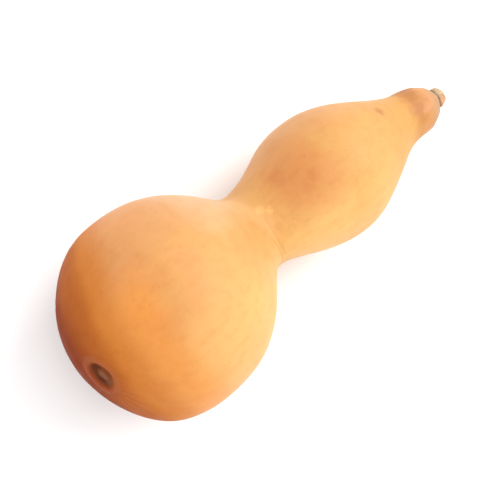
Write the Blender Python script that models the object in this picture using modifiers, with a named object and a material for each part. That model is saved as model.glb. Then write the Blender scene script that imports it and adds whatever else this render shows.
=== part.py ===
"""A dried bottle gourd lying on its side, with the stub of its stem.

Metres, +Z up. The gourd lies along X, its blossom end towards -X and its stem towards +X,
and rests on Z = 0 on a flat spot under each of its two bulbs. The origin is on that
surface, under the middle of the whole object.
"""

import math

import bmesh
import bpy
from mathutils import Vector
from mathutils.geometry import interpolate_bezier

# Driving dimensions: places along the gourd, measured along X from its blossom end
BULB_AT = 0.0366
WAIST_AT = 0.0800
UPPER_AT = 0.1185
NECK_AT = 0.1625
SHOULDER_AT = 0.1700
CROWN_AT = 0.1757

# Driving dimensions: radii at those places
BULB_RADIUS = 0.0375
WAIST_RADIUS = 0.0158
UPPER_RADIUS = 0.0254
NECK_RADIUS = 0.0096
SHOULDER_RADIUS = 0.0083
CROWN_RADIUS = 0.0048

# The spine: its height over the table at the two bulbs, which leaves a flat spot a few
# millimetres across under each, and the radius of its gentle bend towards -Y
BULB_HEIGHT = 0.0368
UPPER_HEIGHT = 0.02505
BEND_RADIUS = 1.1
SPINE_STEP = 0.0005

# The blossom end grew off the line through the bulbs, upwards and to the -Y side. This
# shift fades out along the gourd, up to BLOSSOM_SHIFT_TO
BLOSSOM_SHIFT = Vector((0.0042, -0.0018, 0.0066))
BLOSSOM_SHIFT_TO = 0.0550

# The lower bulb is fuller on its -Y side, most of all at LEAN_AT
LEAN = 0.0015
LEAN_AT = 0.0110
LEAN_WIDTH = 0.0140

# Low swellings that keep the rind from being a perfect turning: height as a share of the
# radius, turns round the spine, waves along it, and phase
SWELLINGS = (
    (0.009, 2, 1.0, 0.6),
    (0.006, 3, 1.7, 2.1),
    (0.005, 1, 3.1, 4.0),
    (0.003, 5, 2.3, 1.2),
)

# Where one side is fuller or flatter: height as a share of the radius, place along the
# gourd, reach along it, and the angle in degrees round the spine, from +Y towards +Z
FULLER_SIDES = (
    (0.045, 0.0095, 0.0060, 180),
    (0.015, 0.0280, 0.0080, 0),
    (-0.050, 0.0935, 0.0095, 0),
    (-0.045, 0.1550, 0.0070, 180),
    (0.070, 0.1640, 0.0045, 0),
)

# The blossom scar: a groove and a raised rim, a little below the end of the spine
SCAR_EDGE_AT = 0.00075
SCAR_EDGE_RADIUS = 0.0075
SCAR_DROP = 0.0022
SCAR_GROOVE_RADIUS = 0.0042
SCAR_GROOVE_DEPTH = 0.0006
SCAR_GROOVE_WIDTH = 0.0012
SCAR_RIM_RADIUS = 0.0063
SCAR_RIM_HEIGHT = 0.00035
SCAR_RIM_WIDTH = 0.0012

# Low ribs that run over the knob and on over the stem
RIBS = 5
KNOB_RIB_HEIGHT = 0.00025
STEM_RIB_HEIGHT = 0.00015

# The crown is a shallow dish with a socket in its middle, which holds the stem's foot
CROWN_LIP = 0.0004
DISH_DEPTH = 0.0005
SOCKET_RADIUS = 0.0033
SOCKET_DEPTH = 0.0012
STEM_GAP = 0.0003
STEM_NECK_RADIUS = 0.0028
STEM_CAP_FULLNESS = 0.0044
STEM_STANDS_OUT = 0.0056
PITH_RADIUS = 0.0014
PITH_DEPTH = 0.0004

SEGMENTS = 48
STEM_SEGMENTS = 30
STEM_CAP_RINGS = 9
MERGE_DISTANCE = 0.00001
CUT_DISTANCE = 0.0000001
SHARP_ANGLE = math.radians(40)

# Colour and roughness of the two materials
RIND_LOOK = ((0.74, 0.41, 0.15), 0.45)
CORK_LOOK = ((0.55, 0.42, 0.26), 0.85)

# Outline of the rind as Bezier knots: place along the gourd, radius, slope in degrees,
# length of the handle before and after, and the number of rings up to the next knot
OUTLINE = (
    (0.0, 0.0, 90, 0.0, 0.0025, 10),
    (SCAR_EDGE_AT, SCAR_EDGE_RADIUS, 78, 0.0025, 0.0190, 14),
    (BULB_AT, BULB_RADIUS, 0, 0.0198, 0.0272, 14),
    (WAIST_AT, WAIST_RADIUS, 0, 0.0095, 0.0098, 9),
    (UPPER_AT, UPPER_RADIUS, 0, 0.0180, 0.0142, 12),
    (NECK_AT, NECK_RADIUS, -9, 0.0142, 0.0030, 4),
    (SHOULDER_AT, SHOULDER_RADIUS, -25, 0.0022, 0.0022, 5),
    (CROWN_AT, CROWN_RADIUS, -50, 0.0018, 0.0, 0),
)


def slope_vector(degrees):
    """Unit step along an outline: X is the change of radius, Z the change of place."""
    angle = math.radians(degrees)
    return Vector((math.sin(angle), 0.0, math.cos(angle)))


def rind_outline():
    """Points (radius, 0, place) from the blossom end to the middle of the socket's floor."""
    points = []
    for knot, following in zip(OUTLINE, OUTLINE[1:]):
        at, radius, slope, _, reach, rings = knot
        next_at, next_radius, next_slope, next_reach, _, _ = following
        start = Vector((radius, 0.0, at))
        end = Vector((next_radius, 0.0, next_at))
        leave = start + reach * slope_vector(slope)
        arrive = end - next_reach * slope_vector(next_slope)
        points += interpolate_bezier(start, leave, arrive, end, rings + 1)[:-1]
    floor = CROWN_AT - DISH_DEPTH
    points.append(Vector((CROWN_RADIUS, 0.0, CROWN_AT)))
    points.append(Vector((CROWN_RADIUS - CROWN_LIP, 0.0, CROWN_AT)))
    points.append(Vector((SOCKET_RADIUS, 0.0, floor)))
    points.append(Vector((SOCKET_RADIUS, 0.0, floor - SOCKET_DEPTH)))
    points.append(Vector((0.0, 0.0, floor - SOCKET_DEPTH)))
    return points


def stem_outline():
    """Points (radius, 0, place) from the middle of the stem's foot to the middle of its tip."""
    foot = CROWN_AT - DISH_DEPTH - SOCKET_DEPTH + STEM_GAP
    tip = CROWN_AT + STEM_STANDS_OUT
    cap = interpolate_bezier(
        Vector((STEM_NECK_RADIUS, 0.0, CROWN_AT)),
        Vector((STEM_CAP_FULLNESS, 0.0, CROWN_AT)),
        Vector((STEM_CAP_FULLNESS, 0.0, tip)),
        Vector((PITH_RADIUS, 0.0, tip)),
        STEM_CAP_RINGS,
    )
    return [
        Vector((0.0, 0.0, foot)),
        Vector((STEM_NECK_RADIUS, 0.0, foot)),
        *cap,
        Vector((0.0, 0.0, tip - PITH_DEPTH)),
    ]


def bump(x, middle, width):
    return math.exp(-(((x - middle) / width) ** 2))


def spine(at):
    """Centre of the ring at a place along the gourd."""
    share = (at - BULB_AT) / (UPPER_AT - BULB_AT)
    height = BULB_HEIGHT + share * (UPPER_HEIGHT - BULB_HEIGHT)
    side = -((at - WAIST_AT) ** 2) / (2 * BEND_RADIUS)
    shift = max(0.0, 1.0 - at / BLOSSOM_SHIFT_TO) ** 2
    return Vector((at, side, height)) + shift * BLOSSOM_SHIFT


def ring_axes(at):
    """Forward, left and up directions of the ring at a place along the gourd."""
    forward = (spine(at + SPINE_STEP) - spine(at - SPINE_STEP)).normalized()
    left = Vector((0.0, 0.0, 1.0)).cross(forward).normalized()
    return forward, left, forward.cross(left)


def swelling(at, angle):
    """How far the rind swells at a place, as a share of its radius."""
    share = at / CROWN_AT
    all_round = sum(
        height * math.sin(turns * angle + math.tau * waves * share + phase)
        for height, turns, waves, phase in SWELLINGS
    )
    one_sided = sum(
        height * bump(at, middle, reach) * ((1.0 + math.cos(angle - math.radians(side))) / 2) ** 2
        for height, middle, reach, side in FULLER_SIDES
    )
    return all_round + one_sided


def scar_relief(radius, angle):
    """How far the blossom scar stands out of the plain form."""
    away = math.hypot(radius * math.cos(angle), radius * math.sin(angle) + SCAR_DROP)
    groove = SCAR_GROOVE_DEPTH * bump(away, SCAR_GROOVE_RADIUS, SCAR_GROOVE_WIDTH)
    rim = SCAR_RIM_HEIGHT * bump(away, SCAR_RIM_RADIUS, SCAR_RIM_WIDTH)
    return rim - groove


def on_gourd(at, radius, angle):
    """The place in space of a point of the straight turning of the rind."""
    forward, left, up = ring_axes(at)
    in_socket = at > NECK_AT and radius < SOCKET_RADIUS + STEM_GAP
    if radius > 0.0 and not in_socket:
        ribs = KNOB_RIB_HEIGHT * bump(at, SHOULDER_AT, CROWN_AT - NECK_AT)
        radius = radius * (1.0 + swelling(at, angle)) + ribs * math.sin(RIBS * angle)
    point = spine(at) + radius * (math.cos(angle) * left + math.sin(angle) * up)
    point.y -= LEAN * bump(at, LEAN_AT, LEAN_WIDTH)
    if at < BULB_AT:
        point -= scar_relief(radius, angle) * forward
    return point


def on_stem(at, radius, angle):
    """The place in space of a point of the straight turning of the stem."""
    forward, left, up = ring_axes(CROWN_AT)
    if at > CROWN_AT and radius > PITH_RADIUS:
        radius += STEM_RIB_HEIGHT * math.sin(RIBS * angle)
    centre = spine(CROWN_AT) + (at - CROWN_AT) * forward
    return centre + radius * (math.cos(angle) * left + math.sin(angle) * up)


def turned(name, outline, segments, placed):
    """A mesh turned from an outline, each of its points then moved to where placed() says."""
    line = bpy.data.meshes.new(name + "_outline")
    line.from_pydata(outline, [(i, i + 1) for i in range(len(outline) - 1)], [])
    profile = bpy.data.objects.new(name + "_outline", line)
    bpy.context.scene.collection.objects.link(profile)
    screw = profile.modifiers.new("Turn", "SCREW")
    screw.axis = "Z"
    screw.steps = segments
    screw.render_steps = segments
    screw.use_merge_vertices = True
    screw.merge_threshold = MERGE_DISTANCE
    graph = bpy.context.evaluated_depsgraph_get()
    solid = bpy.data.meshes.new_from_object(profile.evaluated_get(graph))
    solid.name = name
    bpy.data.objects.remove(profile)
    bpy.data.meshes.remove(line)
    shape = bmesh.new()
    shape.from_mesh(solid)
    for vertex in shape.verts:
        x, y, at = vertex.co
        vertex.co = placed(at, math.hypot(x, y), math.atan2(y, x))
    flatten_underside(shape)
    bmesh.ops.recalc_face_normals(shape, faces=shape.faces)
    shape.to_mesh(solid)
    shape.free()
    return solid


def flatten_underside(shape):
    """Cuts off what reaches below the table, which leaves a flat spot there."""
    everything = list(shape.verts) + list(shape.edges) + list(shape.faces)
    bmesh.ops.bisect_plane(
        shape,
        geom=everything,
        dist=CUT_DISTANCE,
        plane_co=(0.0, 0.0, 0.0),
        plane_no=(0.0, 0.0, 1.0),
        clear_inner=True,
    )
    rim = [edge for edge in shape.edges if edge.is_boundary]
    bmesh.ops.holes_fill(shape, edges=rim, sides=0)


def plain_material(name, colour, roughness):
    material = bpy.data.materials.new(name)
    material.use_nodes = True
    shader = material.node_tree.nodes["Principled BSDF"]
    shader.inputs["Base Color"].default_value = (*colour, 1.0)
    shader.inputs["Roughness"].default_value = roughness
    shader.inputs["Metallic"].default_value = 0.0
    return material


def add_node(name, mesh, material, collection):
    node = bpy.data.objects.new(name, mesh)
    mesh.materials.append(material)
    mesh.shade_smooth()
    mesh.set_sharp_from_angle(angle=SHARP_ANGLE)
    collection.objects.link(node)
    return node


def centre_on_origin(nodes):
    """Moves the nodes sideways so that the middle of their common box is over the origin."""
    corners = [vertex.co for node in nodes for vertex in node.data.vertices]
    for axis in (0, 1):
        low = min(corner[axis] for corner in corners)
        high = max(corner[axis] for corner in corners)
        for node in nodes:
            node.location[axis] = -(low + high) / 2


def main():
    for old in list(bpy.data.objects):
        bpy.data.objects.remove(old)
    collection = bpy.data.collections.new("dried_bottle_gourd")
    bpy.context.scene.collection.children.link(collection)
    rind = plain_material("rind", *RIND_LOOK)
    cork = plain_material("stem_cork", *CORK_LOOK)
    gourd_mesh = turned("gourd", rind_outline(), SEGMENTS, on_gourd)
    stem_mesh = turned("stem_stub", stem_outline(), STEM_SEGMENTS, on_stem)
    gourd = add_node("gourd", gourd_mesh, rind, collection)
    stem = add_node("stem_stub", stem_mesh, cork, collection)
    centre_on_origin([gourd, stem])


main()
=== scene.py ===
"""Looks of a dried bottle gourd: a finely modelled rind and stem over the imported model.

Metres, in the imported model's frame: +X along the gourd from its blossom end to its stem,
+Z up, the table at Z = 0. Places along the gourd are measured from its blossom end, with
the same values as the solids' own source. The photograph looks down from the camera here.
"""

import math

import bpy
import numpy as np
from mathutils import Matrix, Vector, noise
from mathutils.geometry import interpolate_bezier


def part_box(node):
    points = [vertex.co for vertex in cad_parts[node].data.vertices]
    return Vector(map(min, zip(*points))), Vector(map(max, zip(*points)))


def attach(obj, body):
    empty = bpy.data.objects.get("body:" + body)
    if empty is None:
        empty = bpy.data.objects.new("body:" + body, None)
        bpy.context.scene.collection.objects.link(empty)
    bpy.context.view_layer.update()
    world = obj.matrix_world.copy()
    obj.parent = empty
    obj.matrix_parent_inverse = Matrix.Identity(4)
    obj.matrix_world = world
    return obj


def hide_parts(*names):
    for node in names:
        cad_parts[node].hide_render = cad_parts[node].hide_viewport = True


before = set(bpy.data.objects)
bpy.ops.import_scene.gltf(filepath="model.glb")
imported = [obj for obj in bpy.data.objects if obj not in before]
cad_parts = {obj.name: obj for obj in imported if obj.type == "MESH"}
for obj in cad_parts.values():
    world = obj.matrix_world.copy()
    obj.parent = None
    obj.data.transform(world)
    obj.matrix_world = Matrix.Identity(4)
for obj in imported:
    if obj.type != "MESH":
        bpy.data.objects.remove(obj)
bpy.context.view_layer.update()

# Places along the gourd and the radii there, as in the solids
BULB_AT = 0.0366
WAIST_AT = 0.0800
UPPER_AT = 0.1185
NECK_AT = 0.1625
SHOULDER_AT = 0.1700
CROWN_AT = 0.1757
BULB_RADIUS = 0.0375
WAIST_RADIUS = 0.0158
UPPER_RADIUS = 0.0254
NECK_RADIUS = 0.0096
SHOULDER_RADIUS = 0.0083
CROWN_RADIUS = 0.0048

# The spine, the blossom end's shift off it and the fuller -Y side, as in the solids
BULB_HEIGHT = 0.0368
UPPER_HEIGHT = 0.02505
BEND_RADIUS = 1.1
SPINE_STEP = 0.0005
BLOSSOM_SHIFT = (0.0042, -0.0018, 0.0066)
BLOSSOM_SHIFT_TO = 0.0550
LEAN = 0.0015
LEAN_AT = 0.0110
LEAN_WIDTH = 0.0140

# Low swellings, as in the solids: height as a share of the radius, turns, waves, phase
SWELLINGS = (
    (0.009, 2, 1.0, 0.6),
    (0.006, 3, 1.7, 2.1),
    (0.005, 1, 3.1, 4.0),
    (0.003, 5, 2.3, 1.2),
)

# Where one side is fuller or flatter, as in the solids: height as a share of the radius,
# place along the gourd, reach along it, and the angle in degrees round the spine
FULLER_SIDES = (
    (0.045, 0.0095, 0.0060, 180),
    (0.015, 0.0280, 0.0080, 0),
    (-0.050, 0.0935, 0.0095, 0),
    (-0.045, 0.1550, 0.0070, 180),
    (0.070, 0.1640, 0.0045, 0),
)

# The blossom scar, a little below the end of the spine: a button, a groove and a raised rim.
# The waves round it are height, turns and phase
SCAR_EDGE_AT = 0.00075
SCAR_EDGE_RADIUS = 0.0075
SCAR_DROP = 0.0022
SCAR_BUTTON_RADIUS = 0.0021
SCAR_BUTTON_HEIGHT = 0.00025
SCAR_GROOVE_RADIUS = 0.0042
SCAR_GROOVE_DEPTH = 0.0007
SCAR_GROOVE_WIDTH = 0.0011
SCAR_RIM_RADIUS = 0.0063
SCAR_RIM_HEIGHT = 0.00040
SCAR_RIM_WIDTH = 0.0012
SCAR_OUTLINE_WAVES = ((0.06, 2, 0.6), (0.03, 3, 2.0))
SCAR_RELIEF_WAVES = ((0.30, 1, 2.4), (0.12, 4, 0.5))

# The knob, the crown and the socket that holds the stem's foot
RIBS = 5
KNOB_RIB_HEIGHT = 0.00025
STEM_RIB_HEIGHT = 0.00015
CROWN_LIP = 0.0004
DISH_DEPTH = 0.0005
SOCKET_RADIUS = 0.0033
SOCKET_DEPTH = 0.0012
STEM_GAP = 0.0003
STEM_NECK_RADIUS = 0.0028
STEM_CAP_FULLNESS = 0.0044
STEM_STANDS_OUT = 0.0056
PITH_RADIUS = 0.0014
PITH_DEPTH = 0.0007
SOCKET_FLOOR_AT = CROWN_AT - DISH_DEPTH - SOCKET_DEPTH

# Fine relief of the rind: uneven growth as height and size of the waves, and how furrows are
# broken off, as a share, the noise added to it and the size of that noise
UNEVENNESS = ((0.00016, 0.0170), (0.00005, 0.0050))
WAIST_CREASE_DEPTH = 0.00010
WAIST_CREASE_SPACING = 0.0022
WAIST_CREASE_LENGTH = 0.0260
WAIST_CREASES_REACH = 0.0110
WAIST_CREASE_WIDTH = 0.12
WAIST_CREASE_BREAKS = (0.5, 1.5, WAIST_CREASE_LENGTH)
SCAR_CREASES = 26
SCAR_CREASE_DEPTH = 0.00014
SCAR_CREASES_FROM = 0.0085
SCAR_CREASES_TO = 0.0360
SCAR_CREASE_WANDER = 5.0
SCAR_CREASE_WANDER_SIZE = 0.009
SCAR_CREASE_BREAKS = (0.7, 1.5, 0.011)
SCAR_CREASES_TOP = 0.8
SCAR_CREASES_LEAST = 0.1
FLUTES = 17
FLUTE_HEIGHT = 0.00009
FLUTE_PHASE = 1.0
NICK_DEPTH = 0.00030
NICK_SIZE = 0.0015

# Fine relief of the stem
FIBRES = 26
FIBRE_HEIGHT = 0.00010
LUMP_HEIGHT = 0.00035
LUMP_SIZE = 0.0022
GRAIN_SHARE = 0.25
STEM_RELIEF_RISE = 0.3 * STEM_STANDS_OUT
PITH_SEEN_FROM = CROWN_AT + 0.5 * STEM_STANDS_OUT

# Fineness of the meshes, how far they are kept off the table, the length below which a normal
# isn't scaled up, and the distance that stands for no scar near
RIND_SEGMENTS = 256
STEM_SEGMENTS = 120
STEM_FOOT_RINGS = 8
STEM_CAP_RINGS = 46
PITH_RINGS = 9
PITH_FIRST_RING = 0.1
BOX_SEGMENTS = 96
CONTACT_LIFT = 0.00002
LEAST_LENGTH = 1e-12
FAR_AWAY = 1.0

# Marks on the rind, where the photograph shows them
SCAR = (-0.0868, -0.0043, 0.0462)
CROWN = (0.0826, -0.0058, 0.0160)
NICK = (0.0555, 0.0068, 0.0364)

# Outline of the rind as Bezier knots: place along the gourd, radius, slope in degrees,
# length of the handle before and after, and the number of rings up to the next knot
OUTLINE = (
    (0.0, 0.0, 90, 0.0, 0.0025, 40),
    (SCAR_EDGE_AT, SCAR_EDGE_RADIUS, 78, 0.0025, 0.0190, 68),
    (BULB_AT, BULB_RADIUS, 0, 0.0198, 0.0272, 60),
    (WAIST_AT, WAIST_RADIUS, 0, 0.0095, 0.0098, 50),
    (UPPER_AT, UPPER_RADIUS, 0, 0.0180, 0.0142, 54),
    (NECK_AT, NECK_RADIUS, -9, 0.0142, 0.0030, 14),
    (SHOULDER_AT, SHOULDER_RADIUS, -25, 0.0022, 0.0022, 14),
    (CROWN_AT, CROWN_RADIUS, -50, 0.0018, 0.0002, 4),
    (CROWN_AT, CROWN_RADIUS - CROWN_LIP, -130, 0.0002, 0.0003, 5),
    (CROWN_AT - DISH_DEPTH, SOCKET_RADIUS, -150, 0.0003, 0.0003, 4),
    (SOCKET_FLOOR_AT, SOCKET_RADIUS, -180, 0.0003, 0.0, 0),
)

# The floor
FLOOR_SIZE = 12.0
FLOOR_Z = -0.00005
FLOOR_TONE = (0.90, 0.90, 0.90, 1.0)
FLOOR_ROUGHNESS = 0.7
FLOOR_GLOSS = 0.2

# The photograph's camera, in the gourd's frame: it looks straight down from here, and these
# are the directions to the right and to the top of its picture. The lens is longer here
CAMERA_PLACE = Vector((-0.1525, 0.0109, 0.4833))
PHOTO_RIGHT = Vector((0.7683, -0.6401, 0.0))
PHOTO_UP = Vector((0.6401, 0.7683, 0.0))
AIM = Vector((-0.0159, -0.0033, 0.0330))
SENSOR = 36.0
LENS = 95.0
CLIP_START = 0.01

# Light: an even pale surround, and a broad soft key from the picture's upper right
SURROUND = 1.32
KEY_POWER = 15.0
KEY_SIZE = 1.4
KEY_DISTANCE = 1.3
KEY_HEIGHT = math.radians(42)
KEY_TURN = math.radians(35)


def colour(red, green, blue):
    """A colour given as screen values from 0 to 255, as a shader takes it."""
    shares = [v / 255 for v in (red, green, blue)]
    return (*[s / 12.92 if s <= 0.04045 else ((s + 0.055) / 1.055) ** 2.4 for s in shares], 1.0)


# Tones of the rind
RIND_TAN = colour(193, 142, 76)
RIND_PINK = colour(197, 138, 78)
# The next two tones: the paler -Y side and the duller +Y side, partly the rind's own tone and
# partly painted light and shade
RIND_PALE_AND_LIT = colour(214, 165, 97)
RIND_DULL_AND_SHADED = colour(190, 133, 82)
# The next tone is used for a pale patch that is partly painted light, and for painted highlights
# at the waist
PALE_TONE_AND_PAINTED_LIGHT = colour(226, 178, 108)
# A pale greyish tone painted as sheen, the reflection of the pale surround
RIND_PAINTED_SHEEN = colour(198, 162, 122)
# The next two are stain tones; the rose one, and the brown in one patch, also stand for painted
# shade on the upper bulb
BROWN_STAIN_AND_SHADE = colour(178, 110, 56)
ROSE_STAIN_AND_SHADE = colour(190, 122, 66)
NICK_ORANGE = colour(160, 96, 36)
NECK_GOLD = colour(184, 134, 63)
KNOB_ORANGE = colour(182, 124, 62)
# The next tone is the brown band round the knob, partly the knob's own colour and partly painted
# shade
KNOB_BROWN_AND_SHADE = colour(162, 104, 52)
KNOB_PINK = colour(184, 128, 84)
# A grey-brown painted shade for the knob's +Y edge
KNOB_PAINTED_EDGE_SHADE = colour(140, 108, 86)
CROWN_DULL = colour(162, 122, 82)
SCAR_RIM = colour(158, 98, 68)
SCAR_BROWN = colour(110, 60, 36)
# The next two tones are the scar's dark and tan spots, partly its own colour and partly painted
# shade and light
SCAR_DARK_AND_SHADED = colour(78, 36, 20)
SCAR_TAN_AND_LIT = colour(124, 88, 62)
SCAR_RED = colour(136, 60, 32)
SCAR_WRINKLE = colour(164, 86, 42)

# How the rows below are read. NOISE: size of the patches, detail and roughness. WANDER: size of
# the noise that pushes an edge about, and how far. STRENGTH: the greatest share of a layer.
# Any other row: where a change starts and ends, and the shares there if not 0 and 1

# Fine marks, as tints that what lies under them is multiplied by. Pores and freckles are dots,
# as the distance between them and their reach, and are full up to a share of that reach
MOTTLE_TINT = colour(250, 246, 241)
VEIN_TINT = colour(252, 249, 244)
PORE_TINT = colour(222, 206, 192)
# A slight painted shade for the waist's furrows
FURROW_SHADE_TINT = colour(242, 234, 222)
MOTTLE_NOISE = (0.0045, 4.0, 0.6)
MOTTLE = (0.42, 0.72)
VEIN_STRETCH = (0.10, 1.0, 1.0)
VEIN_NOISE = (0.0030, 3.0, 0.6)
VEINS = (0.48, 0.72)
FURROW_SHADE = (0.25, 0.9, 0.0, 0.8)
PORES = (0.0026, 0.00030)
PORE_STRENGTH = 0.8
FRECKLES = (0.0170, 0.0009)
FRECKLE_STRENGTH = 0.5
DOT_CORE = 0.3

# Patches of the ground tone, and the paler -Y side and the duller +Y side, partly the rind's own
# tone and partly painted light and shade
PATCH_NOISE = (0.0300, 2.0)
PATCHES = (0.38, 0.62)
SIDE_WAY = (0.0, 1.0, 0.0)
SIDE_WANDER = (0.020, 0.008)
PALE_AND_LIT_SIDE = (0.002, -0.022, 0.0, 0.65)
DULL_AND_SHADED_SIDE = (0.006, 0.024, 0.0, 0.75)

# Towards the blossom end, lower down and to +Y, partly the end's own browning and partly painted
# shade: start and end of each change, its share and its tone
BLOSSOM_WAY = (-0.83, 0.20, -0.52)
BLOSSOM_WANDER = (0.016, 0.008)
BLOSSOM_BROWNING_AND_SHADE = (
    (0.0060, 0.0220, 0.90, colour(213, 134, 56)),
    (0.0220, 0.0350, 0.90, colour(188, 112, 46)),
    (0.0345, 0.0440, 0.90, colour(159, 83, 33)),
    (0.0430, 0.0560, 0.90, colour(117, 40, 5)),
)

# Stains, and among them patches of painted light, shade and sheen and two painted highlights: the
# shares of their reach that noise and their full middle take, and then for each its middle,
# reach, strength and tone
STAIN_AND_LIGHT_WANDER = (0.6, 0.9)
STAIN_AND_LIGHT_CORE = 0.2
STAINS_AND_PAINTED_LIGHT = (
    # Partly painted light: a pale patch on the -Y side of the upper bulb near the waist, partly
    # paler rind
    ((0.0080, -0.0160, 0.0400), 0.0220, 0.55, PALE_TONE_AND_PAINTED_LIGHT),
    # Painted sheen: a pale greyish patch on the upper +Y side between the lower bulb and the
    # waist
    ((-0.0240, 0.0240, 0.0500), 0.0280, 0.55, RIND_PAINTED_SHEEN),
    # Partly painted shade: a rose and brown patch on the upper bulb's side towards the waist and
    # +Y, away from the light, partly the rind's own mottling
    ((0.0095, 0.0070, 0.0475), 0.0220, 0.68, ROSE_STAIN_AND_SHADE),
    ((0.0090, 0.0080, 0.0465), 0.0140, 0.25, BROWN_STAIN_AND_SHADE),
    ((0.0046, 0.0109, 0.0445), 0.0055, 0.50, BROWN_STAIN_AND_SHADE),
    ((0.0138, 0.0042, 0.0493), 0.0042, 0.45, BROWN_STAIN_AND_SHADE),
    ((0.0102, 0.0010, 0.0490), 0.0034, 0.30, BROWN_STAIN_AND_SHADE),
    ((-0.0572, 0.0081, 0.0739), 0.0060, 0.16, BROWN_STAIN_AND_SHADE),
    ((-0.0646, -0.0054, 0.0720), 0.0070, 0.16, BROWN_STAIN_AND_SHADE),
    # Painted highlights: two small pale spots on the fold of the waist
    ((-0.0078, 0.0058, 0.0454), 0.0024, 0.30, PALE_TONE_AND_PAINTED_LIGHT),
    ((-0.0053, 0.0036, 0.0458), 0.0020, 0.30, PALE_TONE_AND_PAINTED_LIGHT),
    ((-0.0147, 0.0034, 0.0499), 0.0036, 0.22, BROWN_STAIN_AND_SHADE),
    ((-0.0063, -0.0031, 0.0456), 0.0030, 0.28, BROWN_STAIN_AND_SHADE),
    (NICK, 0.0032, 0.75, NICK_ORANGE),
)

# The neck and the knob, by the distance from the crown, by the ribs and by the side, with painted
# shade in the band on the +Y side and along the knob's +Y edge
KNOB_WANDER = (0.005, 0.007)
RIB_WANDER = (0.004, 0.8)
PAINTED_EDGE_SHADE_WANDER = (0.004, 0.2)
CROWN_RIM_WANDER = (0.0015, 0.0012)
NECK_AREA = (0.0600, 0.0300, 0.0, 0.8)
KNOB_AREA = (0.0240, 0.0150, 0.0, 0.8)
BAND_OUTSIDE = (0.0220, 0.0160)
BAND_INSIDE = (0.0110, 0.0160)
BAND_UPPER = (-0.012, -0.002)
BAND_STRENGTH = 0.85
PINK_AREA = (0.0150, 0.0125)
PINK_ON_RIBS = (-0.9, 0.5, 0.3, 0.8)
PAINTED_EDGE_SHADE_ON_SIDE = (0.80, 0.99, 0.0, 0.55)
CROWN_RIM = (0.0116, 0.0078, 0.0, 0.80)

# The blossom scar, by the distance from its middle and by the height above it
SCAR_WANDER = (0.0026, 0.0016)
SCAR_FINE_WANDER = (0.0008, 0.0005)
SPOT_WANDER = (0.0016, 0.0018)
SPOT_OTHER_NOISE = (1.3, 1.3, 1.3)
RED_AREA = (0.0105, 0.0055)
RED_BELOW = (0.0010, -0.0030, 0.3, 0.8)
SCAR_RIM_OUTSIDE = (0.0086, 0.0068)
SCAR_RIM_INSIDE = (0.0046, 0.0062)
SCAR_RIM_STRENGTH = 0.30
SCAR_INSIDE = (0.0056, 0.0039)
SCAR_INSIDE_STRENGTH = 0.90
WRINKLES = (0.0, 0.6, 0.0, 0.70)

# Spots in the scar, partly its own colour and partly painted light and shade: tan on its upper
# and -Y parts, dark below its middle and at its +Y end. Place across (+Y) and up from its middle,
# half length, half width, strength and tone
SCAR_SPOTS = (
    (-0.0006, -0.0016, 0.0040, 0.0032, 0.90, SCAR_DARK_AND_SHADED),
    (0.0032, 0.0006, 0.0028, 0.0038, 0.70, SCAR_DARK_AND_SHADED),
    (-0.0002, 0.0016, 0.0030, 0.0014, 0.65, SCAR_TAN_AND_LIT),
    (-0.0040, 0.0004, 0.0020, 0.0038, 0.40, SCAR_TAN_AND_LIT),
)

# The cork: its tones, the fibres, painted shade in the crease at its foot and on its pink side,
# and the pith
CORK_CREAM = colour(190, 168, 136)
CORK_TAN = colour(170, 140, 108)
# A pinker, darker cork tone painted as shade on the stem's -Y side
CORK_PINK_SHADE = colour(189, 133, 95)
CORK_BROWN = colour(112, 78, 52)
# A dark tone painted as shade in the crease at the stem's foot
CORK_CREASE_SHADE = colour(78, 66, 46)
CORK_STRETCH = (0.25, 1.0, 1.0)
FIBRE_NOISE = (0.0007, 3.0, 0.65)
FIBRE_TONES = (0.35, 0.65)
STEM_CREASE_SHADE_WANDER = (0.0012, 0.25)
STEM_CREASE_SHADE = (0.42, 0.05, 0.0, 0.95)
CORK_SHADED_SIDE = (-0.0020, -0.0050, 0.0, 0.65)
PITH_AREA = (0.0017, 0.0009, 0.0, 0.85)
FLECK_NOISE = (0.0009, 2.0)
FLECKS = (0.60, 0.70, 0.0, 0.6)

# Gloss and grain
RIND_ROUGHNESS = (0.44, 0.56)
RIND_GLOSS = 0.03
RIND_WAX = 0.54
WAX_ROUGHNESS = 0.48
WAX_WORN_OFF = (0.0200, 0.0400, RIND_WAX, 0.0)
ROUGHNESS_NOISE_SIZE = 0.0060
ROUGHNESS_PATCHES = (0.30, 0.70)
DRY_SCAR = (0.0075, 0.0055, 0.0, 0.30)
RIND_GRAIN = 0.00003
RIND_GRAIN_NOISE = (0.0006, 3.0, 0.6)
CORK_ROUGHNESS = (0.3, 0.7, 0.72, 0.92)
CORK_GLOSS = 0.3
CORK_GRAIN = 0.00025


def slope_vector(degrees):
    angle = math.radians(degrees)
    return Vector((math.sin(angle), 0.0, math.cos(angle)))


def rind_rings():
    """Places and radii of the rind's rings, from the blossom end to the socket's floor."""
    points = []
    for knot, following in zip(OUTLINE, OUTLINE[1:]):
        at, radius, slope, _, reach, rings = knot
        next_at, next_radius, next_slope, next_reach, _, _ = following
        start = Vector((radius, 0.0, at))
        end = Vector((next_radius, 0.0, next_at))
        leave = start + reach * slope_vector(slope)
        arrive = end - next_reach * slope_vector(next_slope)
        points += interpolate_bezier(start, leave, arrive, end, rings + 1)[:-1]
    points.append(Vector((SOCKET_RADIUS, 0.0, SOCKET_FLOOR_AT)))
    points.append(Vector((0.0, 0.0, SOCKET_FLOOR_AT)))
    return np.array([p.z for p in points]), np.array([p.x for p in points])


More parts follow.
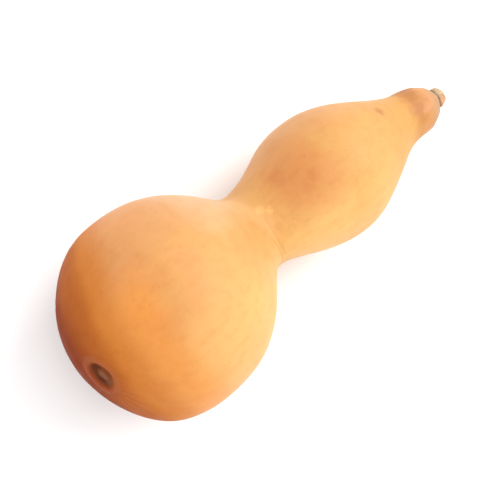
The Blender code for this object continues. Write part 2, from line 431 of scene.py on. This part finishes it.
def stem_rings():
    """Places and radii of the stem's rings, from the middle of its foot to its tip's."""
    tip = CROWN_AT + STEM_STANDS_OUT
    foot = [(0.0, SOCKET_FLOOR_AT + STEM_GAP)]
    for share in np.linspace(0.0, 1.0, STEM_FOOT_RINGS):
        at = SOCKET_FLOOR_AT + STEM_GAP + share * (CROWN_AT - SOCKET_FLOOR_AT - STEM_GAP)
        foot.append((STEM_NECK_RADIUS, at))
    cap = interpolate_bezier(
        Vector((STEM_NECK_RADIUS, 0.0, CROWN_AT)),
        Vector((STEM_CAP_FULLNESS, 0.0, CROWN_AT)),
        Vector((STEM_CAP_FULLNESS, 0.0, tip)),
        Vector((PITH_RADIUS, 0.0, tip)),
        STEM_CAP_RINGS,
    )
    shares = np.linspace(PITH_FIRST_RING, 1.0, PITH_RINGS)
    pith = [(PITH_RADIUS * (1.0 - s), tip - PITH_DEPTH * s**0.5) for s in shares]
    radii = [r for r, _ in foot] + [p.x for p in cap[1:]] + [r for r, _ in pith]
    places = [a for _, a in foot] + [p.z for p in cap[1:]] + [a for _, a in pith]
    return np.array(places), np.array(radii)


def bump(x, middle, width):
    return np.exp(-(((x - middle) / width) ** 2))


def unit(vectors):
    return vectors / np.linalg.norm(vectors, axis=-1, keepdims=True)


def spine(at):
    share = (at - BULB_AT) / (UPPER_AT - BULB_AT)
    height = BULB_HEIGHT + share * (UPPER_HEIGHT - BULB_HEIGHT)
    side = -((at - WAIST_AT) ** 2) / (2 * BEND_RADIUS)
    shift = np.maximum(0.0, 1.0 - at / BLOSSOM_SHIFT_TO) ** 2
    return np.stack([at, side, height], axis=-1) + shift[..., None] * np.array(BLOSSOM_SHIFT)


def ring_axes(at):
    forward = unit(spine(at + SPINE_STEP) - spine(at - SPINE_STEP))
    left = unit(np.cross(np.array([0.0, 0.0, 1.0]), forward))
    return forward, left, np.cross(forward, left)


def swelling(at, angle):
    share = at / CROWN_AT
    all_round = sum(
        height * np.sin(turns * angle + math.tau * waves * share + phase)
        for height, turns, waves, phase in SWELLINGS
    )
    one_sided = sum(
        height * bump(at, middle, reach) * ((1.0 + np.cos(angle - math.radians(side))) / 2) ** 2
        for height, middle, reach, side in FULLER_SIDES
    )
    return all_round + one_sided


def waves_round(angle, waves):
    return sum(height * np.sin(turns * angle + phase) for height, turns, phase in waves)


def scar_place(radius, angle):
    """Distance and angle from the middle of the scar, in step with its uneven outline."""
    across = radius * np.cos(angle)
    up = radius * np.sin(angle) + SCAR_DROP
    turn = np.arctan2(up, across)
    uneven = 1.0 + waves_round(turn, SCAR_OUTLINE_WAVES)
    return np.hypot(across, up) / uneven, turn


def scar_relief(radius, angle):
    """How far the blossom scar stands out, uneven round its middle."""
    reach, turn = scar_place(radius, angle)
    uneven = 1.0 + waves_round(turn, SCAR_RELIEF_WAVES)
    button = SCAR_BUTTON_HEIGHT * bump(reach, 0.0, SCAR_BUTTON_RADIUS)
    groove = SCAR_GROOVE_DEPTH * uneven * bump(reach, SCAR_GROOVE_RADIUS, SCAR_GROOVE_WIDTH)
    rim = SCAR_RIM_HEIGHT * (2.0 - uneven) * bump(reach, SCAR_RIM_RADIUS, SCAR_RIM_WIDTH)
    return button + rim - groove


def on_gourd(at, radius, angle):
    """Places in space of the points of the straight turning of the rind."""
    forward, left, up = ring_axes(at)
    grown = (radius > SOCKET_RADIUS + STEM_GAP) | (at < NECK_AT)
    knob = bump(at, SHOULDER_AT, CROWN_AT - NECK_AT)
    flutes = FLUTE_HEIGHT * np.sin(FLUTES * angle + FLUTE_PHASE)
    ribs = KNOB_RIB_HEIGHT * np.sin(RIBS * angle) + flutes
    wide = np.where(grown, radius * (1.0 + swelling(at, angle)) + knob * ribs, radius)
    wide = np.where(radius == 0.0, 0.0, wide)
    across = np.cos(angle)[..., None] * left + np.sin(angle)[..., None] * up
    points = spine(at) + wide[..., None] * across
    points[..., 1] -= LEAN * bump(at, LEAN_AT, LEAN_WIDTH)
    scar = np.where(at < BULB_AT, scar_relief(wide, angle), 0.0)
    return points - scar[..., None] * forward


def on_stem(at, radius, angle):
    """Places in space of the points of the straight turning of the stem."""
    forward, left, up = ring_axes(np.full_like(at, CROWN_AT))
    stands = np.clip((at - CROWN_AT) / STEM_RELIEF_RISE, 0.0, 1.0)
    share = np.clip(radius / STEM_NECK_RADIUS, 0.0, 1.0)
    ridges = STEM_RIB_HEIGHT * np.sin(RIBS * angle) + FIBRE_HEIGHT * np.sin(FIBRES * angle)
    wide = radius + ridges * stands * share
    across = np.cos(angle)[..., None] * left + np.sin(angle)[..., None] * up
    centre = spine(np.full_like(at, CROWN_AT)) + (at - CROWN_AT)[..., None] * forward
    return centre + wide[..., None] * across


def surface_normals(points):
    along = np.gradient(points, axis=0)
    around = np.roll(points, -1, axis=1) - np.roll(points, 1, axis=1)
    normals = np.cross(around, along)
    lengths = np.linalg.norm(normals, axis=-1, keepdims=True)
    return normals / np.maximum(lengths, LEAST_LENGTH)


def noise_at(points, size):
    """Smooth noise between -1 and 1 at each point, with waves of the given size."""
    flat = (points / size).reshape(-1, 3)
    return np.array([noise.noise(p) for p in flat]).reshape(points.shape[:-1])


def broken(points, share, depth, size):
    """Between 0 and 1, to break lines off: a share with smooth noise added."""
    return np.clip(share + depth * noise_at(points, size), 0.0, 1.0)


def furrows(points):
    """1 along thin broken furrows that run round the waist, and 0 elsewhere."""
    stretch = np.array([WAIST_CREASE_SPACING, WAIST_CREASE_LENGTH, WAIST_CREASE_LENGTH])
    lines = bump(noise_at(points / stretch, 1.0), 0.0, WAIST_CREASE_WIDTH)
    return lines * broken(points, *WAIST_CREASE_BREAKS)


def scar_creases(points):
    """Low furrows that run out from the blossom scar, on its -Y side and below it."""
    offset = points - np.array(SCAR)
    away = np.linalg.norm(offset, axis=-1)
    turn = np.arctan2(offset[..., 2], offset[..., 1])
    wander = SCAR_CREASE_WANDER * noise_at(points, SCAR_CREASE_WANDER_SIZE)
    waves = np.sin(SCAR_CREASES * turn + wander) * broken(points, *SCAR_CREASE_BREAKS)
    start = np.clip((away - SCAR_EDGE_RADIUS) / (SCAR_CREASES_FROM - SCAR_EDGE_RADIUS), 0.0, 1.0)
    fade = np.clip((SCAR_CREASES_TO - away) / (SCAR_CREASES_TO - SCAR_CREASES_FROM), 0.0, 1.0)
    side = np.clip(-offset[..., 1] / SCAR_CREASES_FROM, SCAR_CREASES_LEAST, 1.0)
    low = SCAR_CREASES_TOP - offset[..., 2] / SCAR_EDGE_RADIUS
    low = np.clip(low, SCAR_CREASES_LEAST, 1.0)
    return waves * start * fade**2 * side * low


def rind_detail(points, at, radius, angle):
    """How far the rind stands out of the plain form, and the marks its material reads."""
    waist = furrows(points) * bump(at, WAIST_AT, WAIST_CREASES_REACH)
    wrinkles = scar_creases(points)
    pit = bump(np.linalg.norm(points - np.array(NICK), axis=-1), 0.0, NICK_SIZE)
    relief = sum(height * noise_at(points, size) for height, size in UNEVENNESS)
    relief -= WAIST_CREASE_DEPTH * waist
    relief += SCAR_CREASE_DEPTH * wrinkles
    relief -= NICK_DEPTH * pit
    relief *= at < SHOULDER_AT
    scar_reach, scar_turn = scar_place(radius, angle)
    marks = {
        "scar_reach": np.where(at < WAIST_AT, scar_reach, FAR_AWAY),
        "scar_across": scar_reach * np.cos(scar_turn),
        "scar_up": scar_reach * np.sin(scar_turn),
        "side": np.cos(angle),
        "furrow": waist,
        "wrinkle": wrinkles,
        "rib": np.sin(RIBS * angle),
    }
    return relief, marks


def stem_detail(points, at, radius, angle):
    """How far the stem stands out of the plain form, and the marks its material reads."""
    lumps = LUMP_HEIGHT * noise_at(points, LUMP_SIZE)
    grain = GRAIN_SHARE * LUMP_HEIGHT * noise_at(points, GRAIN_SHARE * LUMP_SIZE)
    relief = (lumps + grain) * np.clip((at - CROWN_AT) / STEM_RELIEF_RISE, 0.0, 1.0)
    marks = {
        "stands_out": (at - CROWN_AT) / STEM_STANDS_OUT,
        "from_pith": np.where(at > PITH_SEEN_FROM, radius, STEM_CAP_FULLNESS),
    }
    return relief, marks


def grown_mesh(name, rings, segments, placed, detail):
    """A closed mesh over rings that begin and end in a single point."""
    places, radii = rings
    everywhere = np.ones((len(places), segments))
    at = places[:, None] * everywhere
    radius = radii[:, None] * everywhere
    angle = np.linspace(0.0, math.tau, segments, endpoint=False) * everywhere
    points = placed(at, radius, angle) - offset_of_solids()
    relief, marks = detail(points, at, radius, angle)
    relief[[0, -1]] = relief[[0, -1]].mean(axis=1, keepdims=True)
    points += relief[..., None] * surface_normals(points)
    points[..., 2] = np.maximum(points[..., 2], CONTACT_LIFT)
    mesh = bpy.data.meshes.new(name)
    mesh.from_pydata(ends_joined(points), [], ring_faces(len(places) - 2, segments))
    for mark, values in marks.items():
        held = mesh.attributes.new(mark, "FLOAT", "POINT")
        held.data.foreach_set("value", ends_joined(values).astype(np.float32))
    mesh.shade_smooth()
    return mesh


def ends_joined(values):
    """The values of all rings in one row, with a single one for each end."""
    inner = values[1:-1].reshape(-1, *values.shape[2:])
    return np.concatenate([values[0, :1], inner, values[-1, :1]])


def ring_faces(rings, segments):
    """Faces over rings of vertices that follow vertex 0 and end in one last vertex."""
    faces = []
    tip = 1 + rings * segments
    for s in range(segments):
        t = (s + 1) % segments
        faces.append((0, 1 + s, 1 + t))
        for row in range(1, tip - segments, segments):
            faces.append((row + s, row + segments + s, row + segments + t, row + t))
        faces.append((tip - segments + s, tip, tip - segments + t))
    return faces


def offset_of_solids():
    """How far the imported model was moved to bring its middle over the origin."""
    low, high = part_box("gourd")
    at, radius = rind_rings()
    everywhere = np.ones((len(at), BOX_SEGMENTS))
    angle = np.linspace(0.0, math.tau, BOX_SEGMENTS, endpoint=False) * everywhere
    points = on_gourd(at[:, None] * everywhere, radius[:, None] * everywhere, angle)
    middle_y = (points[..., 1].min() + points[..., 1].max()) / 2
    return np.array([points[..., 0].min() - low[0], middle_y - (low[1] + high[1]) / 2, 0.0])


def put(tree, socket, value):
    if isinstance(value, bpy.types.NodeSocket):
        tree.links.new(value, socket)
    else:
        socket.default_value = value


def calc(tree, operation, *values):
    made = tree.nodes.new("ShaderNodeMath")
    made.operation = operation
    for socket, value in zip(made.inputs, values):
        put(tree, socket, value)
    return made.outputs[0]


def eased(tree, value, start, end, low=0.0, high=1.0):
    """Goes smoothly from low to high while the value goes from start to end."""
    made = tree.nodes.new("ShaderNodeMapRange")
    made.interpolation_type = "SMOOTHSTEP"
    for name, given in (
        ("Value", value),
        ("From Min", start),
        ("From Max", end),
        ("To Min", low),
        ("To Max", high),
    ):
        put(tree, made.inputs[name], given)
    return made.outputs["Result"]


def clouds(tree, place, size, detail=3.0, roughness=0.5):
    """Noise with a middle of one half and patches of about the given size."""
    made = tree.nodes.new("ShaderNodeTexNoise")
    put(tree, made.inputs["Vector"], place)
    made.inputs["Scale"].default_value = 1.0 / size
    made.inputs["Detail"].default_value = detail
    made.inputs["Roughness"].default_value = roughness
    return made.outputs["Fac"]


def stretched(tree, place, factors):
    made = tree.nodes.new("ShaderNodeMapping")
    put(tree, made.inputs["Vector"], place)
    made.inputs["Scale"].default_value = factors
    return made.outputs["Vector"]


def distance_from(tree, place, point):
    made = tree.nodes.new("ShaderNodeVectorMath")
    made.operation = "DISTANCE"
    put(tree, made.inputs[0], place)
    made.inputs[1].default_value = point
    return made.outputs["Value"]


def mixed(tree, share, under, over, blend="MIX"):
    made = tree.nodes.new("ShaderNodeMix")
    made.data_type = "RGBA"
    made.blend_type = blend
    put(tree, made.inputs[0], share)
    put(tree, made.inputs[6], under)
    put(tree, made.inputs[7], over)
    return made.outputs[2]


def new_material(name):
    material = bpy.data.materials.new(name)
    material.use_nodes = True
    tree = material.node_tree
    shader = tree.nodes["Principled BSDF"]
    place = tree.nodes.new("ShaderNodeTexCoord").outputs["Object"]
    return material, tree, shader, place


def towards(tree, place, direction):
    """How far a place lies along a direction."""
    made = tree.nodes.new("ShaderNodeVectorMath")
    made.operation = "DOT_PRODUCT"
    put(tree, made.inputs[0], place)
    made.inputs[1].default_value = direction
    return made.outputs["Value"]


def mark(tree, name):
    """A value that the mesh holds at its vertices."""
    made = tree.nodes.new("ShaderNodeAttribute")
    made.attribute_name = name
    return made.outputs["Fac"]


def warped(tree, value, place, size, amount):
    """The value pushed about by noise, so that what depends on it has a natural edge."""
    push = calc(tree, "MULTIPLY_ADD", clouds(tree, place, size), amount, -amount / 2)
    return calc(tree, "ADD", value, push)


def dots(tree, place, size, reach):
    """1 in the middle of dots strewn about the given size apart, and 0 beyond their reach."""
    made = tree.nodes.new("ShaderNodeTexVoronoi")
    put(tree, made.inputs["Vector"], place)
    made.inputs["Scale"].default_value = 1.0 / size
    return eased(tree, made.outputs["Distance"], reach / size, DOT_CORE * reach / size)


def painted(tree, under, layers, blend="MIX"):
    """Layers of (share, colour) laid one over the other."""
    for share, over in layers:
        under = mixed(tree, share, under, over, blend)
    return under


def times(tree, *values):
    result = values[0]
    for value in values[1:]:
        result = calc(tree, "MULTIPLY", result, value)
    return result


def blossom_reach(tree, place):
    """How far a place lies towards the blossom end, unevenly."""
    return warped(tree, towards(tree, place, BLOSSOM_WAY), place, *BLOSSOM_WANDER)


def broad_layers(tree, place):
    """Paler on the -Y side and duller on the +Y side, partly own tone and partly painted light
    and shade; orange to brown towards the blossom end, partly its own browning and partly painted
    shade.
    """
    side = warped(tree, towards(tree, place, SIDE_WAY), place, *SIDE_WANDER)
    # Partly painted light on the paler -Y side and painted shade on the duller +Y side
    pale = eased(tree, side, *PALE_AND_LIT_SIDE)
    dull = eased(tree, side, *DULL_AND_SHADED_SIDE)
    reach = blossom_reach(tree, place)
    # Partly the blossom end's own browning and partly painted shade, darkest low down
    blossom = [
        (eased(tree, reach, start, end, 0.0, most), tone)
        for start, end, most, tone in BLOSSOM_BROWNING_AND_SHADE
    ]
    return [(pale, RIND_PALE_AND_LIT), blossom[0], (dull, RIND_DULL_AND_SHADED)] + blossom[1:]


def stain_and_painted_light_layers(tree, place):
    """Named stains that the photograph shows, with painted light, shade, sheen and highlights
    among them, each with a ragged soft edge.
    """
    size, amount = STAIN_AND_LIGHT_WANDER
    layers = []
    for middle, reach, strength, tone in STAINS_AND_PAINTED_LIGHT:
        away = distance_from(tree, place, middle)
        away = warped(tree, away, place, size * reach, amount * reach)
        layers.append((eased(tree, away, reach, STAIN_AND_LIGHT_CORE * reach, 0.0, strength), tone))
    return layers


def knob_layers(tree, place):
    """A golden neck, and the knob: a brown band, partly painted shade, then pink up to the dull
    rim of the crown, and painted shade along its +Y edge.
    """
    away = distance_from(tree, place, CROWN)
    uneven = warped(tree, away, place, *KNOB_WANDER)
    rib = warped(tree, mark(tree, "rib"), place, *RIB_WANDER)
    knob = eased(tree, uneven, *BAND_OUTSIDE)
    band = times(tree, knob, eased(tree, uneven, *BAND_INSIDE))
    upper = eased(tree, towards(tree, place, SIDE_WAY), *BAND_UPPER)
    pink = times(tree, eased(tree, uneven, *PINK_AREA), eased(tree, rib, *PINK_ON_RIBS))
    side = warped(tree, mark(tree, "side"), place, *PAINTED_EDGE_SHADE_WANDER)
    edge = eased(tree, side, *PAINTED_EDGE_SHADE_ON_SIDE)
    rim = eased(tree, warped(tree, away, place, *CROWN_RIM_WANDER), *CROWN_RIM)
    return [
        (eased(tree, uneven, *NECK_AREA), NECK_GOLD),
        (eased(tree, uneven, *KNOB_AREA), KNOB_ORANGE),
        # Partly painted shade: a brown band in the hollow where the neck flares into the knob, on
        # its +Y side, partly the knob's own colour
        (times(tree, band, upper, BAND_STRENGTH), KNOB_BROWN_AND_SHADE),
        (pink, KNOB_PINK),
        # Painted shade: a grey-brown darkening along the knob's +Y edge
        (times(tree, knob, edge), KNOB_PAINTED_EDGE_SHADE),
        (rim, CROWN_DULL),
    ]


def scar_layers(tree, place):
    """The blossom scar: brown with dark and tan spots that are partly painted shade and light, a
    faint pale rim and wrinkles round it.
    """
    reach = warped(tree, mark(tree, "scar_reach"), place, *SCAR_WANDER)
    reach = warped(tree, reach, place, *SCAR_FINE_WANDER)
    across = warped(tree, mark(tree, "scar_across"), place, *SPOT_WANDER)
    elsewhere = stretched(tree, place, SPOT_OTHER_NOISE)
    up = warped(tree, mark(tree, "scar_up"), elsewhere, *SPOT_WANDER)
    red = times(tree, eased(tree, reach, *RED_AREA), eased(tree, up, *RED_BELOW))
    rim = times(tree, eased(tree, reach, *SCAR_RIM_OUTSIDE), eased(tree, reach, *SCAR_RIM_INSIDE))
    inside = eased(tree, reach, *SCAR_INSIDE)
    layers = [
        (eased(tree, mark(tree, "wrinkle"), *WRINKLES), SCAR_WRINKLE),
        (red, SCAR_RED),
        (times(tree, rim, SCAR_RIM_STRENGTH), SCAR_RIM),
        (times(tree, inside, SCAR_INSIDE_STRENGTH), SCAR_BROWN),
    ]
    for middle, height, length, width, strength, tone in SCAR_SPOTS:
        beside = calc(tree, "DIVIDE", calc(tree, "SUBTRACT", across, middle), length)
        above = calc(tree, "DIVIDE", calc(tree, "SUBTRACT", up, height), width)
        away = calc(tree, "ADD", times(tree, beside, beside), times(tree, above, above))
        layers.append((times(tree, inside, eased(tree, away, 1.0, 0.0, 0.0, strength)), tone))
    return layers


def fine_layers(tree, place):
    """Mottling, lengthwise veins, painted shade in the waist's furrows, and pores over the whole
    rind.
    """
    along = stretched(tree, place, VEIN_STRETCH)
    return [
        (eased(tree, clouds(tree, place, *MOTTLE_NOISE), *MOTTLE), MOTTLE_TINT),
        (eased(tree, clouds(tree, along, *VEIN_NOISE), *VEINS), VEIN_TINT),
        # Painted shade: the waist's furrows darkened a little
        (eased(tree, mark(tree, "furrow"), *FURROW_SHADE), FURROW_SHADE_TINT),
        (times(tree, dots(tree, place, *PORES), PORE_STRENGTH), PORE_TINT),
        (times(tree, dots(tree, place, *FRECKLES), FRECKLE_STRENGTH), PORE_TINT),
    ]


def rind_material():
    """A waxy dried rind, its colour built up in layers from the ground tone out."""
    material, tree, shader, place = new_material("rind_looks")
    patches = eased(tree, clouds(tree, place, *PATCH_NOISE), *PATCHES)
    ground = mixed(tree, patches, RIND_TAN, RIND_PINK)
    layers = broad_layers(tree, place) + knob_layers(tree, place)
    layers += stain_and_painted_light_layers(tree, place) + scar_layers(tree, place)
    tone = painted(tree, ground, layers)
    tone = painted(tree, tone, fine_layers(tree, place), "MULTIPLY")
    put(tree, shader.inputs["Base Color"], tone)
    dry = eased(tree, mark(tree, "scar_reach"), *DRY_SCAR)
    noisy = clouds(tree, place, ROUGHNESS_NOISE_SIZE)
    uneven = eased(tree, noisy, *ROUGHNESS_PATCHES, *RIND_ROUGHNESS)
    put(tree, shader.inputs["Roughness"], calc(tree, "ADD", uneven, dry))
    wax = eased(tree, blossom_reach(tree, place), *WAX_WORN_OFF)
    put(tree, shader.inputs["Coat Weight"], wax)
    shader.inputs["Coat Roughness"].default_value = WAX_ROUGHNESS
    shader.inputs["Specular IOR Level"].default_value = RIND_GLOSS
    add_bump(tree, shader, clouds(tree, place, *RIND_GRAIN_NOISE), RIND_GRAIN)
    return material


def add_bump(tree, shader, height, depth):
    made = tree.nodes.new("ShaderNodeBump")
    put(tree, made.inputs["Height"], height)
    made.inputs["Distance"].default_value = depth
    put(tree, shader.inputs["Normal"], made.outputs["Normal"])


def cork_material():
    """Dry cork: fibres from foot to tip, painted shade in the crease at the foot and on the pink
    -Y side, and a hollow pith.
    """
    material, tree, shader, place = new_material("stem_cork_looks")
    fibre = clouds(tree, stretched(tree, place, CORK_STRETCH), *FIBRE_NOISE)
    ground = mixed(tree, eased(tree, fibre, *FIBRE_TONES), CORK_CREAM, CORK_TAN)
    low = warped(tree, mark(tree, "stands_out"), place, *STEM_CREASE_SHADE_WANDER)
    layers = [
        # Painted shade: the stem pinker and darker towards -Y
        (eased(tree, towards(tree, place, SIDE_WAY), *CORK_SHADED_SIDE), CORK_PINK_SHADE),
        (eased(tree, clouds(tree, place, *FLECK_NOISE), *FLECKS), CORK_BROWN),
        # Painted shade: the stem's foot darkened in the crease where it meets the crown
        (eased(tree, low, *STEM_CREASE_SHADE), CORK_CREASE_SHADE),
        (eased(tree, mark(tree, "from_pith"), *PITH_AREA), CORK_BROWN),
    ]
    put(tree, shader.inputs["Base Color"], painted(tree, ground, layers))
    put(tree, shader.inputs["Roughness"], eased(tree, fibre, *CORK_ROUGHNESS))
    shader.inputs["Specular IOR Level"].default_value = CORK_GLOSS
    add_bump(tree, shader, fibre, CORK_GRAIN)
    return material


def floor_material():
    material, _, shader, _ = new_material("floor_looks")
    shader.inputs["Base Color"].default_value = FLOOR_TONE
    shader.inputs["Roughness"].default_value = FLOOR_ROUGHNESS
    shader.inputs["Specular IOR Level"].default_value = FLOOR_GLOSS
    return material


def add_piece(name, mesh, material, node):
    piece = bpy.data.objects.new(name, mesh)
    mesh.materials.append(material)
    bpy.context.scene.collection.objects.link(piece)
    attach(piece, "root")
    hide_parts(node)
    return piece


def add_floor():
    half = FLOOR_SIZE / 2
    mesh = bpy.data.meshes.new("floor")
    corners = ((-half, -half), (half, -half), (half, half), (-half, half))
    mesh.from_pydata([(x, y, FLOOR_Z) for x, y in corners], [], [(0, 1, 2, 3)])
    mesh.materials.append(floor_material())
    floor = bpy.data.objects.new("floor", mesh)
    bpy.context.scene.collection.objects.link(floor)


def add_camera():
    data = bpy.data.cameras.new("camera")
    data.sensor_width = SENSOR
    data.lens = LENS
    data.clip_start = CLIP_START
    camera = bpy.data.objects.new("camera", data)
    back = (CAMERA_PLACE - AIM).normalized()
    right = PHOTO_UP.cross(back).normalized()
    up = back.cross(right)
    turn = Matrix((right, up, back)).transposed().to_4x4()
    camera.matrix_world = Matrix.Translation(CAMERA_PLACE) @ turn
    bpy.context.scene.collection.objects.link(camera)
    bpy.context.scene.camera = camera


def add_lights():
    world = bpy.data.worlds.new("surround")
    world.use_nodes = True
    background = world.node_tree.nodes["Background"]
    background.inputs["Color"].default_value = (1.0, 1.0, 1.0, 1.0)
    background.inputs["Strength"].default_value = SURROUND
    bpy.context.scene.world = world
    data = bpy.data.lights.new("key", "AREA")
    data.shape = "DISK"
    data.size = KEY_SIZE
    data.energy = KEY_POWER
    key = bpy.data.objects.new("key", data)
    level = PHOTO_RIGHT * math.cos(KEY_TURN) + PHOTO_UP * math.sin(KEY_TURN)
    way = level * math.cos(KEY_HEIGHT) + Vector((0.0, 0.0, math.sin(KEY_HEIGHT)))
    key.location = KEY_DISTANCE * way
    key.rotation_euler = way.to_track_quat("Z", "Y").to_euler()
    bpy.context.scene.collection.objects.link(key)
    bpy.context.scene.view_settings.view_transform = "Standard"


def main():
    rind = grown_mesh("rind", rind_rings(), RIND_SEGMENTS, on_gourd, rind_detail)
    stem = grown_mesh("stem", stem_rings(), STEM_SEGMENTS, on_stem, stem_detail)
    add_piece("gourd_rind", rind, rind_material(), "gourd")
    add_piece("stem_cork", stem, cork_material(), "stem_stub")
    add_floor()
    add_camera()
    add_lights()


main()
